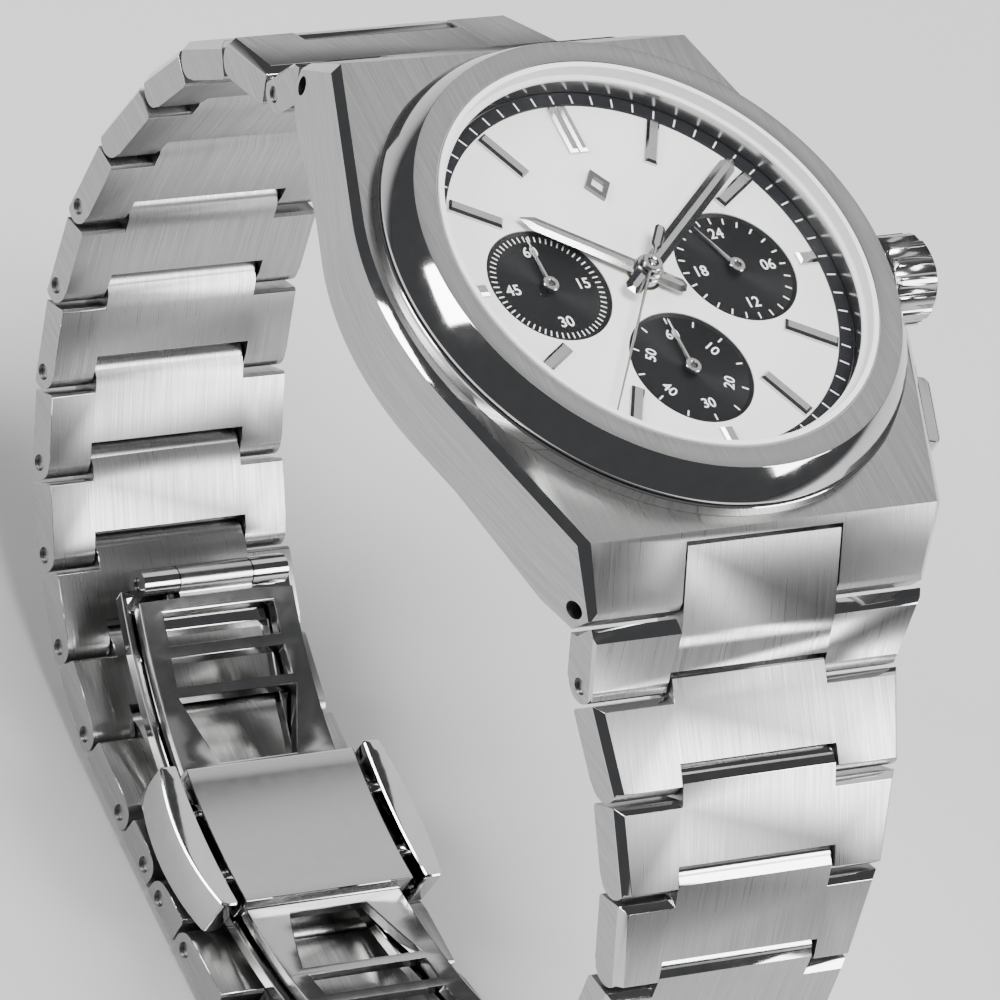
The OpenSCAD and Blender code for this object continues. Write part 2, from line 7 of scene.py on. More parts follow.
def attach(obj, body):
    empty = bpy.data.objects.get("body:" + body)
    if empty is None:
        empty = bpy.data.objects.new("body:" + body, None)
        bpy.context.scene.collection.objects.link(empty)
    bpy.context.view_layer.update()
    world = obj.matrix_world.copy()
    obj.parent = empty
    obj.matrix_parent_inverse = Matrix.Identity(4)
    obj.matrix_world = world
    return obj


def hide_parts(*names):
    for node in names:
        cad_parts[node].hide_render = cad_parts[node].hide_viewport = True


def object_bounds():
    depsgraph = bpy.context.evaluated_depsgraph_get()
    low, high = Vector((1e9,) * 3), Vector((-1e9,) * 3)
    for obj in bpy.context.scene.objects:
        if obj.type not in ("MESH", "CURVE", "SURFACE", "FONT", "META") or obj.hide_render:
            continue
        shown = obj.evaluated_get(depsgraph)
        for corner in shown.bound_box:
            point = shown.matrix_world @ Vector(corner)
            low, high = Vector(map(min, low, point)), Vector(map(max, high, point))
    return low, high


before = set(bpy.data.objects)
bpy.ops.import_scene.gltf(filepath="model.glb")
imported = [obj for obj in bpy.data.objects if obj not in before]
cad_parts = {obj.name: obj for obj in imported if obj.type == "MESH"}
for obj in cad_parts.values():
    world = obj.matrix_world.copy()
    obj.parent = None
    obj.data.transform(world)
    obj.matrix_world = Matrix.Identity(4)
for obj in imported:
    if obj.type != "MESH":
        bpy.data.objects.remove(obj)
cad_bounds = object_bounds()

# Millimetres in metres: outlines below are in millimetres, in the frame of the CAD
MM = 0.001

# Heights of the dial's layers
DIAL_Z = 8.3
DIAL_THICK = 0.4
SUB_FLOOR_Z = 8.1
MINUTE_RING_TOP = 8.45
MARKER_SHOULDER_Z = 8.52
MARKER_RISE = 0.17

# The three subdials: centre, and number of ticks round the edge
SUBDIALS = {"left": ((-7.5, 0.0), 60), "right": ((7.5, 0.0), 24), "low": ((0.0, -7.5), 12)}
SUB_HOLE_R = 4.48
DIAL_R = 15.25
CENTRE_HOLE_R = 1.2

# Time shown: hours past 12, and the seconds that the chronograph has stopped at
HOUR = 10.15
MINUTE = (HOUR - int(HOUR)) * 60
STOPPED_SECONDS = 36.25

# Bracelet: angle of every link below the horizontal, as in the CAD
UPPER = [58, 31, 52, 69, 83, 96, 109, 120, 130, 140, 151, 164, 177, 179]
LOWER = [58, 33, 47, 62, 76, 89, 101, 114, 126, 139, 152, 164, 177, 180]
END_TONGUE_HALF = 6.2


# ---------------------------------------------------------------- materials

def new_material(name):
    mat = bpy.data.materials.new(name)
    mat.use_nodes = True
    tree = mat.node_tree
    shader = tree.nodes["Principled BSDF"]
    return mat, tree, shader


def noise(tree, vector, scale, detail=3.0, rough=0.55):
    mapping = tree.nodes.new("ShaderNodeMapping")
    mapping.inputs["Scale"].default_value = scale
    tree.links.new(vector, mapping.inputs["Vector"])
    tex = tree.nodes.new("ShaderNodeTexNoise")
    tex.inputs["Scale"].default_value = 1.0
    tex.inputs["Detail"].default_value = detail
    tex.inputs["Roughness"].default_value = rough
    tree.links.new(mapping.outputs["Vector"], tex.inputs["Vector"])
    return tex.outputs["Fac"]


def ramp(tree, value, low, high, at0=0.3, at1=0.7):
    node = tree.nodes.new("ShaderNodeMapRange")
    node.inputs["From Min"].default_value = at0
    node.inputs["From Max"].default_value = at1
    node.inputs["To Min"].default_value = low
    node.inputs["To Max"].default_value = high
    tree.links.new(value, node.inputs["Value"])
    return node.outputs["Result"]


def mix_value(tree, fac, a, b):
    node = tree.nodes.new("ShaderNodeMix")
    tree.links.new(fac, node.inputs[0])
    tree.links.new(a, node.inputs[2])
    tree.links.new(b, node.inputs[3])
    return node.outputs[0]


def grey(tree, value, tint=(1.0, 0.995, 0.985)):
    node = tree.nodes.new("ShaderNodeCombineColor")
    for i, t in enumerate(tint):
        scale = tree.nodes.new("ShaderNodeMath")
        scale.operation = "MULTIPLY"
        scale.inputs[1].default_value = t
        tree.links.new(value, scale.inputs[0])
        tree.links.new(scale.outputs[0], node.inputs[i])
    return node.outputs[0]


def bump(tree, shader, height, depth):
    node = tree.nodes.new("ShaderNodeBump")
    node.inputs["Strength"].default_value = 1.0
    node.inputs["Distance"].default_value = depth
    tree.links.new(height, node.inputs["Height"])
    tree.links.new(node.outputs["Normal"], shader.inputs["Normal"])


def brushed(name, low, high, rough, depth=2.2e-6, flank=True):
    """Steel with straight brush lines along the strap, and along the case on its flanks."""
    mat, tree, shader = new_material(name)
    coord = tree.nodes.new("ShaderNodeTexCoord")
    here = coord.outputs["Object"]
    fine = noise(tree, here, (13000, 180, 180), 4.0)
    broad = noise(tree, here, (4200, 70, 70), 2.0)
    if flank:
        side_fine = noise(tree, here, (180, 180, 13000), 4.0)
        side_broad = noise(tree, here, (300, 70, 4200), 2.0)
        split = tree.nodes.new("ShaderNodeSeparateXYZ")
        tree.links.new(coord.outputs["Normal"], split.inputs[0])
        size = tree.nodes.new("ShaderNodeMath")
        size.operation = "ABSOLUTE"
        tree.links.new(split.outputs["X"], size.inputs[0])
        side = ramp(tree, size.outputs[0], 0.0, 1.0, 0.6, 0.75)
        fine = mix_value(tree, side, fine, side_fine)
        broad = mix_value(tree, side, broad, side_broad)
    blend = tree.nodes.new("ShaderNodeMath")
    blend.operation = "MULTIPLY_ADD"
    blend.inputs[1].default_value = 0.35
    tree.links.new(broad, blend.inputs[0])
    tree.links.new(fine, blend.inputs[2])
    lines = blend.outputs[0]
    tree.links.new(grey(tree, ramp(tree, lines, low, high, 0.42, 0.93)), shader.inputs["Base Color"])
    tree.links.new(ramp(tree, lines, rough + 0.07, rough - 0.05, 0.42, 0.93), shader.inputs["Roughness"])
    shader.inputs["Metallic"].default_value = 1.0
    bump(tree, shader, lines, depth)
    return mat


def polished(name, tone, rough, tint=(1.0, 0.995, 0.985)):
    mat, tree, shader = new_material(name)
    coord = tree.nodes.new("ShaderNodeTexCoord")
    smear = noise(tree, coord.outputs["Object"], (900, 900, 900), 4.0)
    tree.links.new(grey(tree, ramp(tree, smear, tone - 0.02, tone + 0.02), tint), shader.inputs["Base Color"])
    tree.links.new(ramp(tree, smear, rough, rough + 0.04), shader.inputs["Roughness"])
    shader.inputs["Metallic"].default_value = 1.0
    return mat


def turned(name, tone, rough, depth):
    """Steel turned on a lathe: fine lines round Z."""
    mat, tree, shader = new_material(name)
    coord = tree.nodes.new("ShaderNodeTexCoord")
    lines = noise(tree, coord.outputs["Object"], (60, 60, 9000), 2.0)
    tree.links.new(grey(tree, ramp(tree, lines, tone - 0.05, tone + 0.05)), shader.inputs["Base Color"])
    tree.links.new(ramp(tree, lines, rough, rough + 0.06), shader.inputs["Roughness"])
    shader.inputs["Metallic"].default_value = 1.0
    bump(tree, shader, lines, depth)
    return mat


def plain(name, colour, rough, grain=3000, depth=1.0e-6, metallic=0.0, spread=0.03):
    mat, tree, shader = new_material(name)
    coord = tree.nodes.new("ShaderNodeTexCoord")
    fac = noise(tree, coord.outputs["Object"], (grain, grain, grain), 4.0)
    node = tree.nodes.new("ShaderNodeMix")
    node.data_type = "RGBA"
    tree.links.new(fac, node.inputs[0])
    node.inputs[6].default_value = [max(0.0, c - spread * c) for c in colour] + [1]
    node.inputs[7].default_value = [min(1.0, c + spread * c) for c in colour] + [1]
    tree.links.new(node.outputs[2], shader.inputs["Base Color"])
    tree.links.new(ramp(tree, fac, rough - 0.03, rough + 0.03), shader.inputs["Roughness"])
    shader.inputs["Metallic"].default_value = metallic
    bump(tree, shader, fac, depth)
    return mat


def sunray(name, centre, tone, rough):
    """Dark lacquer over brushing that runs out from a subdial's centre."""
    mat, tree, shader = new_material(name)
    coord = tree.nodes.new("ShaderNodeTexCoord")
    shift = tree.nodes.new("ShaderNodeVectorMath")
    shift.operation = "SUBTRACT"
    shift.inputs[1].default_value = centre
    tree.links.new(coord.outputs["Object"], shift.inputs[0])
    split = tree.nodes.new("ShaderNodeSeparateXYZ")
    tree.links.new(shift.outputs[0], split.inputs[0])
    angle = tree.nodes.new("ShaderNodeMath")
    angle.operation = "ARCTAN2"
    tree.links.new(split.outputs["Y"], angle.inputs[0])
    tree.links.new(split.outputs["X"], angle.inputs[1])
    join = tree.nodes.new("ShaderNodeCombineXYZ")
    tree.links.new(angle.outputs[0], join.inputs[0])
    rays = noise(tree, join.outputs[0], (60, 1, 1), 3.0)
    shade = ramp(tree, rays, tone * 0.7, tone * 1.35)
    tree.links.new(grey(tree, shade, (1, 1, 1.04)), shader.inputs["Base Color"])
    shader.inputs["Metallic"].default_value = 0.25
    shader.inputs["Roughness"].default_value = rough
    shader.inputs["Anisotropic"].default_value = 0.75
    shader.inputs["Specular IOR Level"].default_value = 0.25
    tangent = tree.nodes.new("ShaderNodeVectorMath")
    tangent.operation = "CROSS_PRODUCT"
    tangent.inputs[1].default_value = (0, 0, 1)
    tree.links.new(shift.outputs[0], tangent.inputs[0])
    unit = tree.nodes.new("ShaderNodeVectorMath")
    unit.operation = "NORMALIZE"
    tree.links.new(tangent.outputs[0], unit.inputs[0])
    tree.links.new(unit.outputs[0], shader.inputs["Tangent"])
    return mat


STEEL = brushed("steel_brushed", 0.30, 0.44, 0.3)
STEEL_IN = brushed("steel_inside", 0.28, 0.4, 0.34)
POLISH = polished("steel_polished", 0.56, 0.05)
BRIGHT = polished("steel_bright", 0.5, 0.12)
EMBLEM = polished("steel_dark", 0.2, 0.2)
SOFT = polished("steel_soft", 0.46, 0.16)
WALL = turned("steel_turned", 0.42, 0.17, 1.5e-6)
BACK = brushed("steel_back", 0.34, 0.46, 0.28, flank=False)
GASKET = plain("gasket", (0.80, 0.775, 0.785), 0.35)
DIAL = plain("dial_lacquer", (0.88, 0.88, 0.865), 0.42, 9000, 0.5e-6, 0.0, 0.015)
BLACK = plain("dial_black", (0.008, 0.008, 0.01), 0.5, 9000, 0.5e-6)
BLACK.node_tree.nodes["Principled BSDF"].inputs["Specular IOR Level"].default_value = 0.25
INK = plain("print_white", (0.86, 0.86, 0.86), 0.5, 12000, 0.5e-6)
# Near-black: painted shade in the narrow groove under the bezel's slope; also the colour of the subdial
# hands' centre pins.
SHADE_AND_PIN_BLACK = plain("groove_shade_and_pin_black", (0.03, 0.03, 0.032), 0.5)
BRASS = plain("movement_brass", (0.72, 0.56, 0.28), 0.3, 2500, 1e-6, 1.0)
HOLDER = plain("holder_plastic", (0.12, 0.12, 0.13), 0.5)
RUBBER = plain("seal_rubber", (0.02, 0.02, 0.02), 0.7)
SPRING = polished("spring_wire", 0.5, 0.2)


def glass():
    mat, tree, shader = new_material("crystal_glass")
    shader.inputs["Base Color"].default_value = (0.03, 0.035, 0.04, 1)
    shader.inputs["Roughness"].default_value = 0.02
    shader.inputs["Alpha"].default_value = 0.035
    shader.inputs["Specular IOR Level"].default_value = 0.6
    coord = tree.nodes.new("ShaderNodeTexCoord")
    smear = noise(tree, coord.outputs["Object"], (300, 300, 300), 3.0)
    tree.links.new(ramp(tree, smear, 0.015, 0.04), shader.inputs["Roughness"])
    return mat


GLASS = glass()


# ---------------------------------------------------------------- mesh helpers

def finish_mesh(name, bm, mats, body, node=None, smooth=24):
    mesh = bpy.data.meshes.new(name)
    for face in bm.faces:
        face.smooth = True
    bm.to_mesh(mesh)
    bm.free()
    mesh.set_sharp_from_angle(angle=math.radians(smooth))
    for mat in mats:
        mesh.materials.append(mat)
    obj = bpy.data.objects.new(name, mesh)
    bpy.context.scene.collection.objects.link(obj)
    if node:
        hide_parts(*([node] if isinstance(node, str) else node))
    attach(obj, body)
    return obj


def refine(node, body, mats, choose=None, edge=0.06, segments=2, smooth=24, split=28):
    """The CAD node's own shape with welded faces, rounded edges and a material per face."""
    bm = bmesh.new()
    bm.from_mesh(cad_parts[node].data)
    bmesh.ops.remove_doubles(bm, verts=bm.verts, dist=2e-7)
    bmesh.ops.dissolve_limit(bm, angle_limit=math.radians(0.6), verts=bm.verts, edges=bm.edges,
                             delimit={"NORMAL"})
    bm.normal_update()
    for face in bm.faces:
        face.material_index = choose(face.normal, face.calc_center_median() / MM) if choose else 0
    if edge:
        sharp = [e for e in bm.edges if len(e.link_faces) == 2
                 and e.calc_face_angle(0) > math.radians(split)
                 and e.calc_length() > 0.3 * MM]
        bmesh.ops.bevel(bm, geom=sharp, offset=edge * MM, segments=segments, profile=0.6,
                        affect="EDGES", clamp_overlap=True, loop_slide=True,
                        material=len(mats) - 1 if len(mats) > 1 else -1)
    return finish_mesh("look_" + node, bm, mats, body, node, smooth)


def lathe(name, profile, mats, body, node=None, around=256, pick=None, centre=(0, 0), smooth=24):
    """A closed outline of (radius, height) in mm turned round Z."""
    bm = bmesh.new()
    rings = []
    for r, z in profile:
        if r < 1e-6:
            rings.append([bm.verts.new((centre[0] * MM, centre[1] * MM, z * MM))])
            continue
        rings.append([
            bm.verts.new(((centre[0] + r * math.cos(2 * math.pi * k / around)) * MM,
                          (centre[1] + r * math.sin(2 * math.pi * k / around)) * MM, z * MM))
            for k in range(around)])
    count = len(rings)
    for i in range(count):
        a, b = rings[i], rings[(i + 1) % count]
        if len(a) == 1 and len(b) == 1:
            continue
        for k in range(around):
            n = (k + 1) % around
            if len(a) == 1:
                corners = (a[0], b[n], b[k])
            elif len(b) == 1:
                corners = (a[k], a[n], b[0])
            else:
                corners = (a[k], a[n], b[n], b[k])
            face = bm.faces.new(corners)
            if pick:
                face.material_index = pick[i]
    bmesh.ops.recalc_face_normals(bm, faces=bm.faces)
    return finish_mesh(name, bm, mats, body, node, smooth)


def add_prism(bm, outline, z0, z1, place=Matrix.Identity(4), index=0, inset=None, rise=0.0):
    """A closed prism over an outline, with an optional sloping shoulder up to an inset outline."""
    loops = [[bm.verts.new(place @ Vector((x * MM, y * MM, z0 * MM))) for x, y in outline],
             [bm.verts.new(place @ Vector((x * MM, y * MM, z1 * MM))) for x, y in outline]]
    if inset:
        loops.append([bm.verts.new(place @ Vector((x * MM, y * MM, (z1 + rise) * MM))) for x, y in inset])
    faces = [bm.faces.new(list(reversed(loops[0]))), bm.faces.new(loops[-1])]
    for low, high in zip(loops, loops[1:]):
        for k in range(len(low)):
            n = (k + 1) % len(low)
            faces.append(bm.faces.new((low[k], low[n], high[n], high[k])))
    for face in faces:
        face.material_index = index
    faces[1].material_index = index + (1 if inset else 0)
    return faces


def turn(degrees, x=0.0, y=0.0):
    """Clockwise by an angle from 12 o'clock, about a point in mm."""
    return Matrix.Translation((x * MM, y * MM, 0)) @ Matrix.Rotation(-math.radians(degrees), 4, "Z")


# ---------------------------------------------------------------- case

def case_choice(normal, centre):
    """Polished corner facets and flank bevels, brushed everywhere else."""
    x, y, z = abs(normal.x), abs(normal.y), normal.z
    if abs(z) < 0.9 and abs(x * 0.596 + y * 0.689 + z * 0.411) > 0.985:
        return 1
    if x > 0.45 and 0.5 < z < 0.9 and y < 0.4:
        return 1
    return 0


refine("case_middle", "case", [STEEL, POLISH], case_choice, 0.05, 2, 24)

# The notch under the bezel's sloping face (material 2) is painted near-black as painted shade; the steel
# there is no darker than the rest.
lathe("look_bezel", [
    (15.95, 8.33), (15.95, 9.85), (15.75, 9.85), (15.75, 10.79), (15.79, 10.83), (15.85, 10.85),
    (17.41, 10.85), (17.46, 10.84), (17.50, 10.80), (18.80, 8.86), (18.82, 8.80), (18.82, 8.68),
    (18.78, 8.66), (18.55, 8.66), (18.55, 8.45), (18.90, 8.45), (18.95, 8.40), (18.95, 7.64),
    (18.91, 7.60), (18.23, 7.60), (18.23, 8.33)],
    [STEEL, POLISH, SHADE_AND_PIN_BLACK], "case", "bezel", 360,
    [0, 0, 0, 1, 1, 0, 0, 1, 1, 1, 1, 1, 1, 2, 2, 1, 1, 1, 1, 0, 0])

lathe("look_crystal", [(0, 10.05), (15.28, 10.05), (15.28, 10.93), (15.16, 11.05), (0, 11.05)],
      [GLASS], "case", "crystal", 256)
lathe("look_gasket", [(14.95, 9.87), (15.72, 9.87), (15.72, 10.93), (15.69, 10.96), (15.37, 10.96),
                      (15.34, 10.93), (15.34, 10.03), (14.95, 10.03)],
      [GASKET], "case", "crystal_gasket", 256)
lathe("look_rehaut", [(15.9, 8.33), (15.9, 9.8), (15.19, 9.8), (15.15, 9.76), (15.15, 8.33)],
      [WALL], "case", "rehaut", 256)
refine("case_back", "case", [BACK, POLISH], None, 0.06, 2, 24)


# ---------------------------------------------------------------- dial

lathe("look_minute_ring", [(14.1, 8.3), (15.1, 8.3), (15.1, 8.45), (14.12, 8.45), (14.1, 8.43)],
      [BLACK], "case", "minute_ring", 256)

ink = bmesh.new()


def ticks(count, half, r_in, r_out, z, thick, x=0.0, y=0.0):
    """Printed strokes round a centre, sunk a little into the surface that they lie on."""
    stroke = [(-half, r_in), (half, r_in), (half, r_out), (-half, r_out)]
    for k in range(count):
        add_prism(ink, stroke, z, z + thick, turn(360 * k / count, x, y))


ticks(60, 0.055, 14.2, 14.88, MINUTE_RING_TOP - 0.005, 0.013)
for (cx, cy), count in SUBDIALS.values():
    fine_scale = count == 60
    half_stroke = 0.045 if fine_scale else 0.055
    ticks(count, half_stroke, 3.72 if fine_scale else 3.68, 4.15, SUB_FLOOR_Z - 0.002, 0.014, cx, cy)


def numeral(text, size, x, y, tilt):
    """White printed digits as flat mesh, centred on a point of the dial."""
    curve = bpy.data.curves.new("digits", "FONT")
    curve.body = text
    curve.size = size * MM
    curve.align_x = "CENTER"
    curve.align_y = "CENTER"
    curve.extrude = 0.006 * MM
    curve.offset = 0.012 * MM
    curve.resolution_u = 4
    holder = bpy.data.objects.new("digits", curve)
    bpy.context.scene.collection.objects.link(holder)
    bpy.context.view_layer.update()
    mesh = bpy.data.meshes.new_from_object(holder.evaluated_get(bpy.context.evaluated_depsgraph_get()))
    place = Matrix.Translation((x * MM, y * MM, (SUB_FLOOR_Z + 0.006) * MM))
    mesh.transform(place @ Matrix.Rotation(math.radians(tilt), 4, "Z"))
    ink.from_mesh(mesh)
    bpy.data.objects.remove(holder)
    bpy.data.meshes.remove(mesh)


def numerals(side, size, reach, digits):
    """Numerals evenly round a subdial from its top, each with its own tilt."""
    (x, y), _ = SUBDIALS[side]
    for k, (text, tilt) in enumerate(digits):
        a = 2 * math.pi * k / len(digits)
        numeral(text, size, x + reach[0] * math.sin(a), y + reach[1] * math.cos(a), tilt)


numerals("left", 1.16, (2.75, 2.85), [("60", 0), ("15", 0), ("30", 0), ("45", 0)])
numerals("right", 1.16, (2.75, 2.85), [("24", 0), ("06", 0), ("12", 0), ("18", 0)])
numerals("low", 1.06, (2.8, 2.8), [("60", 0), ("10", -60), ("20", 60), ("30", 0), ("40", -60), ("50", 60)])
finish_mesh("dial_print", ink, [INK], "case", None, 24)

def dial_face():
    """The dial plate with its three round openings and the centre hole."""
    bm = bmesh.new()
    circles = [(0.0, 0.0, DIAL_R, 256)]
    circles += [(x, y, SUB_HOLE_R, 128) for (x, y), _ in SUBDIALS.values()]
    circles.append((0.0, 0.0, CENTRE_HOLE_R, 128))
    loops = []
    for x, y, r, around in circles:
        angles = [2 * math.pi * k / around for k in range(around)]
        loops.append([(x + r * math.cos(a), y + r * math.sin(a)) for a in angles])
    for z in (DIAL_Z, DIAL_Z - DIAL_THICK):
        edges = []
        for loop in loops:
            verts = [bm.verts.new((x * MM, y * MM, z * MM)) for x, y in loop]
            edges += [bm.edges.new((verts[k - 1], verts[k])) for k in range(len(verts))]
        bmesh.ops.triangle_fill(bm, use_beauty=True, use_dissolve=False, edges=edges)
    bm.verts.ensure_lookup_table()
    total = sum(len(loop) for loop in loops)
    start = 0
    for loop in loops:
        n = len(loop)
        for k in range(n):
            a, b = start + k, start + (k + 1) % n
            bm.faces.new((bm.verts[a], bm.verts[b], bm.verts[total + b], bm.verts[total + a]))
        start += n
    bmesh.ops.recalc_face_normals(bm, faces=bm.faces)
    return finish_mesh("look_dial", bm, [DIAL], "case", "dial", 24)


dial_face()

for tag, (centre, _) in SUBDIALS.items():
    ray = sunray("subdial_" + tag, (centre[0] * MM, centre[1] * MM, 0), 0.009, 0.4)
    lathe("look_subdial_" + tag, [
        (0.27, 7.86), (4.43, 7.86), (4.43, 8.26), (4.40, 8.27), (4.22, 8.11), (4.18, SUB_FLOOR_Z),
        (0.27, SUB_FLOOR_Z)],
        [ray], "case", "subdials" if tag == "left" else None, 160, centre=centre)

markers = bmesh.new()


def marker(wide, r_in, r_out, x=0.0, hour=0):
    """A flat-topped bar with sloping sides at an hour."""
    h, cut, end = wide / 2, 0.17, 0.16
    outline = [(x - h, r_in), (x + h, r_in), (x + h, r_out), (x - h, r_out)]
    inset = [(x - h + cut, r_in + end), (x + h - cut, r_in + end),
             (x + h - cut, r_out - end), (x - h + cut, r_out - end)]
    add_prism(markers, outline, DIAL_Z - 0.01, MARKER_SHOULDER_Z, turn(30 * hour), 0, inset, MARKER_RISE)


for hour in range(1, 12):
    marker(0.92, 12.5 if hour % 3 == 0 else 10.1, 13.95, 0.0, hour)
for side in (-1, 1):
    marker(0.66, 10.15, 13.95, 0.39 * side)
diamond = [(1, 0), (0, 1.25), (-1, 0), (0, -1.25)]
outer = [(x, y + 7.4) for x, y in reversed(diamond)]
hole = [(0.55 * x, 0.55 * y + 7.4) for x, y in reversed(diamond)]
for k in range(4):
    n = (k + 1) % 4
    for face in add_prism(markers, [outer[n], outer[k], hole[k], hole[n]], DIAL_Z - 0.01, 8.6):
        face.material_index = 2
bmesh.ops.recalc_face_normals(markers, faces=markers.faces)
finish_mesh("look_markers", markers, [POLISH, BRIGHT, EMBLEM], "case", "hour_markers", 20)


# ---------------------------------------------------------------- hands

def round_part(bm, hub, cx=0.0, cy=0.0, around=48, index=0):
    """An outline of (radius, height) turned round Z at a point of the dial, added to a mesh."""
    rings = []
    for r, z in hub:
        if r < 1e-6:
            rings.append([bm.verts.new((cx * MM, cy * MM, z * MM))])
        else:
            rings.append([bm.verts.new(((cx + r * math.cos(2 * math.pi * k / around)) * MM,
                                        (cy + r * math.sin(2 * math.pi * k / around)) * MM, z * MM))
                          for k in range(around)])
    made = []
    for a, b in zip(rings, rings[1:] + rings[:1]):
        if len(a) == 1 and len(b) == 1:
            continue
        for k in range(around):
            n = (k + 1) % around
            if len(a) == 1:
                made.append(bm.faces.new((a[0], b[n], b[k])))
            elif len(b) == 1:
                made.append(bm.faces.new((a[k], a[n], b[0])))
            else:
                made.append(bm.faces.new((a[k], a[n], b[n], b[k])))
    for face in made:
        face.material_index = index
    bmesh.ops.recalc_face_normals(bm, faces=made)


def baton(node, angle, tip, shoulder, tail, wide, z0, z1, hub):
    """A pointed hand with a flat top between two slopes, and its round hub."""
    bm = bmesh.new()
    h = wide / 2
    outline = [(0.07, tip), (h, shoulder), (h, -tail + 0.35), (h - 0.3, -tail),
               (-h + 0.3, -tail), (-h, -tail + 0.35), (-h, shoulder), (-0.07, tip)]
    s = 0.19
    inset = [(0.05, tip - 0.75), (s, shoulder - 0.25), (s, -tail + 0.5), (s - 0.1, -tail + 0.3),
             (-s + 0.1, -tail + 0.3), (-s, -tail + 0.5), (-s, shoulder - 0.25), (-0.05, tip - 0.75)]
    outline = list(reversed(outline))
    inset = list(reversed(inset))
    add_prism(bm, outline, z0, z0 + 0.06, turn(angle), 0, inset, z1 - z0 - 0.06)
    bmesh.ops.recalc_face_normals(bm, faces=bm.faces)
    round_part(bm, hub)
    finish_mesh("look_" + node, bm, [SOFT, BRIGHT], node, node, 18)


baton("hour_hand", 30 * HOUR, 9.15, 8.15, 2.9, 1.2, 8.76, 8.98,
      [(0.36, 8.2), (1.0, 8.2), (1.05, 8.25), (1.05, 8.95), (0.98, 9.01), (0.36, 9.01)])
baton("minute_hand", 6 * MINUTE, 13.6, 12.65, 2.9, 1.2, 9.16, 9.4,
      [(0.36, 9.05), (0.9, 9.05), (0.95, 9.1), (0.95, 9.38), (0.9, 9.43), (0.36, 9.43)])


seconds = bmesh.new()
needle = [(-0.05, 14.2), (-0.11, 0), (-0.12, -1.4), (-0.36, -1.75), (-0.36, -3.45), (-0.2, -3.7),
          (0.2, -3.7), (0.36, -3.45), (0.36, -1.75), (0.12, -1.4), (0.11, 0), (0.05, 14.2)]
needle_in = [(-0.02, 14.1), (-0.05, 0), (-0.06, -1.5), (-0.2, -1.85), (-0.2, -3.4), (-0.12, -3.58),
             (0.12, -3.58), (0.2, -3.4), (0.2, -1.85), (0.06, -1.5), (0.05, 0), (0.02, 14.1)]
add_prism(seconds, needle, 9.54, 9.62, turn(6 * STOPPED_SECONDS), 0, needle_in, 0.06)
bmesh.ops.recalc_face_normals(seconds, faces=seconds.faces)
round_part(seconds, [(0.36, 9.48), (0.68, 9.48), (0.72, 9.52), (0.72, 9.76), (0.66, 9.82), (0.4, 9.83),
                     (0.32, 9.78), (0.3, 9.72), (0.36, 9.7)])
round_part(seconds, [(0, 9.6), (0.24, 9.6), (0.24, 9.76), (0.18, 9.8), (0, 9.81)], index=2)
finish_mesh("look_chrono_hand", seconds, [SOFT, BRIGHT, BRIGHT], "chrono_seconds_hand",
            "chrono_seconds_hand", 20)


def small_hand(name, node, cx, cy, angle):
    """A tapering subdial hand with a round hub and a dark pin."""
    bm = bmesh.new()
    outline = [(-0.05, 3.85), (-0.19, 0.9), (-0.19, 0), (0.19, 0), (0.19, 0.9), (0.05, 3.85)]
    inset = [(-0.02, 3.75), (-0.08, 0.9), (-0.08, 0.1), (0.08, 0.1), (0.08, 0.9), (0.02, 3.75)]
    add_prism(bm, outline, 8.36, 8.42, turn(angle, cx, cy), 0, inset, 0.07)
    bmesh.ops.recalc_face_normals(bm, faces=bm.faces)
    round_part(bm, [(0.26, 8.3), (0.54, 8.3), (0.58, 8.34), (0.58, 8.54), (0.53, 8.59), (0.3, 8.6),
                    (0.25, 8.56), (0.24, 8.5), (0.26, 8.45)], cx, cy)
    round_part(bm, [(0, 8.46), (0.18, 8.46), (0.18, 8.54), (0.13, 8.57), (0, 8.575)], cx, cy, index=2)
    finish_mesh(name, bm, [SOFT, BRIGHT, SHADE_AND_PIN_BLACK], node, node, 20)


small_hand("look_small_seconds", "small_seconds_hand", 0, -7.5, 0)
small_hand("look_minute_counter", "minute_counter_hand", -7.5, 0, 0)
small_hand("look_hour24", "hour24_hand", 7.5, 0, 15 * (HOUR + 12))


# ---------------------------------------------------------------- crown, pushers

refine("crown", "crown", [SOFT, POLISH], None, 0.07, 2, 30, 40)
for side in ("upper", "lower"):
    refine("pusher_" + side, "pusher_" + side, [SOFT, POLISH], None, 0.09, 3, 24)


# ---------------------------------------------------------------- bracelet and clasp

def link_choice(sign, angle, first):
    """Polished side bevels and shoulder, brushed everywhere else."""
    a = math.radians(angle)
    out = Vector((0, sign * math.sin(a), math.cos(a)))
    along = Vector((0, sign * math.cos(a), -math.sin(a)))

    def choose(normal, centre):
        x = abs(normal.x)
        up, fore = normal.dot(out), normal.dot(along)
        if 0.3 < x < 0.95 and up > 0.3:
            return 1
        if x < 0.2 and up > 0.35 and fore < -0.35 and not first:
            return 1
        if first and x < 0.2 and up > 0.35 and fore < -0.33 and abs(centre.x) > END_TONGUE_HALF:
            return 1
        return 0
    return choose


for side, sign, angles in (("upper", 1, UPPER), ("lower", -1, LOWER)):
    for k, angle in enumerate(angles):
        node = "link_%s_%02d" % (side, k + 1)
        refine(node, node, [STEEL, POLISH], link_choice(sign, angle, k == 0), 0.07, 2, 24)

refine("clasp_bar", "clasp_bar", [SOFT, POLISH], None, 0.1, 2, 24)
for node in ("clasp_arm_upper", "clasp_arm_lower"):
    refine(node, node, [POLISH], None, 0.1, 2, 24)
for node in ("clasp_button_left", "clasp_button_right"):
    refine(node, node, [POLISH], None, 0.25, 3, 24)


# ---------------------------------------------------------------- inner pieces keep their CAD shape

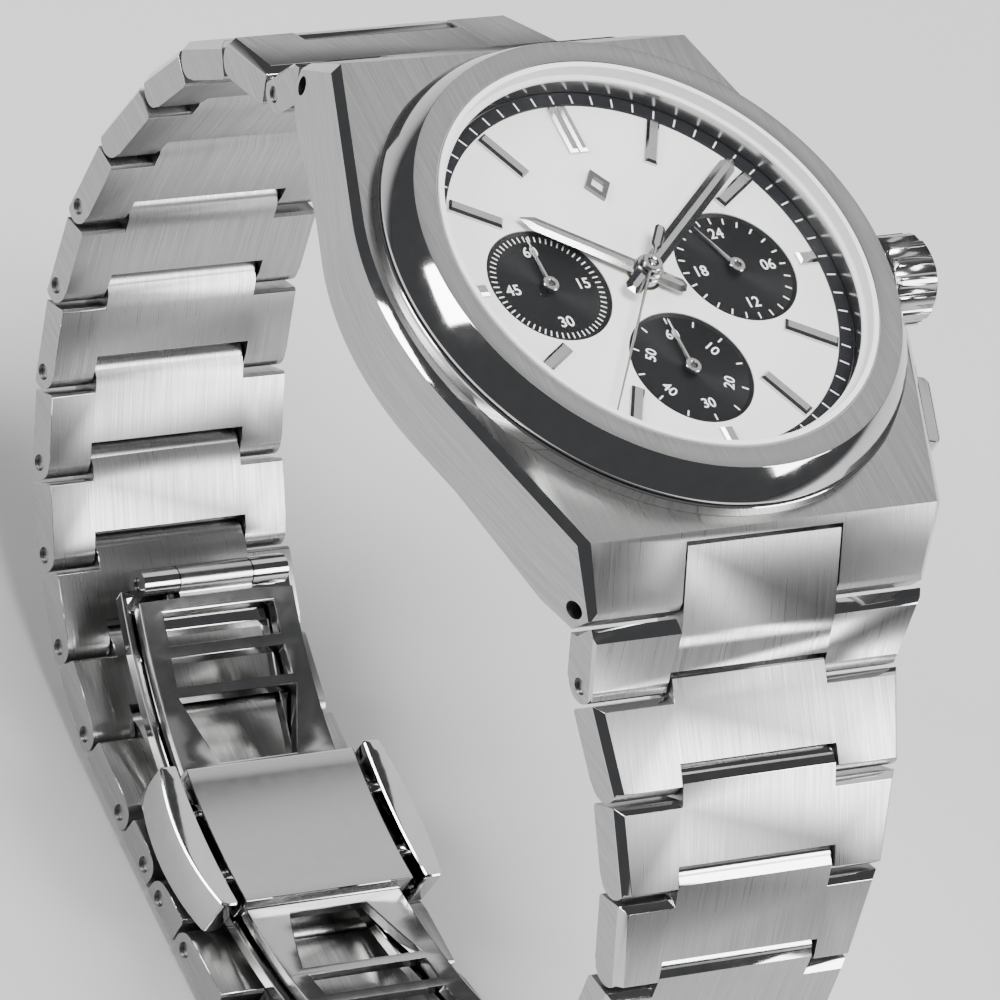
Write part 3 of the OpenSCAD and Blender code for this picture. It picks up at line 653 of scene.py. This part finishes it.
INNER = {
    "movement_plate": BRASS, "train_bridge": STEEL_IN, "battery": SOFT, "movement_ring": HOLDER,
    "case_back_gasket": RUBBER, "crown_stem": SOFT, "pusher_spring_upper": SPRING,
    "pusher_spring_lower": SPRING,
}
for node, mat in INNER.items():
    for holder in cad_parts[node].material_slots:
        holder.material = mat


# ---------------------------------------------------------------- floor, light, camera

low = min(cad_bounds[0][2], cad_bounds[1][2])
bm = bmesh.new()
FLOOR_HALF = 2.5
FLOOR_GAP = 0.0002
corners = [bm.verts.new((x * FLOOR_HALF, y * FLOOR_HALF, low - FLOOR_GAP))
           for x, y in ((-1, -1), (1, -1), (1, 1), (-1, 1))]
bm.faces.new(corners)
mesh = bpy.data.meshes.new("floor")
bm.to_mesh(mesh)
bm.free()
floor = bpy.data.objects.new("floor", mesh)
bpy.context.scene.collection.objects.link(floor)
floor_mat, floor_tree, floor_shader = new_material("floor_paper")
floor_shader.inputs["Base Color"].default_value = (0.52, 0.52, 0.53, 1)
floor_shader.inputs["Roughness"].default_value = 0.7
mesh.materials.append(floor_mat)

world = bpy.data.worlds.new("studio")
bpy.context.scene.world = world
world.use_nodes = True
world.node_tree.nodes["Background"].inputs[0].default_value = (0.42, 0.43, 0.45, 1)
world.node_tree.nodes["Background"].inputs[1].default_value = 0.22


def softbox(name, direction, distance, size, power):
    light = bpy.data.lights.new(name, "AREA")
    light.shape = "RECTANGLE"
    light.size, light.size_y = size
    light.energy = power
    obj = bpy.data.objects.new(name, light)
    away = Vector(direction).normalized()
    obj.location = away * distance + Vector((0, 0, -0.02))
    obj.rotation_euler = away.to_track_quat("Z", "Y").to_euler()
    bpy.context.scene.collection.objects.link(obj)


softbox("left_back", (-0.85, 0.35, 0.55), 0.75, (0.3, 0.3), 5.5)
softbox("top", (-0.05, -0.15, 1.0), 0.8, (0.4, 0.4), 13.0)
softbox("top_back", (0.62, 0.52, 0.68), 0.9, (0.6, 0.4), 0.9)
softbox("right_front", (0.72, -0.62, 0.5), 0.75, (0.3, 0.4), 5.0)

camera = bpy.data.cameras.new("camera")
camera.sensor_width = 36.0
camera.lens = 357.0
camera.clip_start = 0.01
camera.clip_end = 20.0
view = bpy.data.objects.new("camera", camera)
right = Vector((0.8119, -0.4112, 0.4144))
up = Vector((0.0958, 0.7940, 0.6003))
back = right.cross(up).normalized()
up = back.cross(right).normalized()
right.normalize()
view.matrix_world = Matrix((
    (right.x, up.x, back.x, -0.3790),
    (right.y, up.y, back.y, -0.2954),
    (right.z, up.z, back.z, 0.4353),
    (0, 0, 0, 1)))
bpy.context.scene.collection.objects.link(view)
bpy.context.scene.camera = view
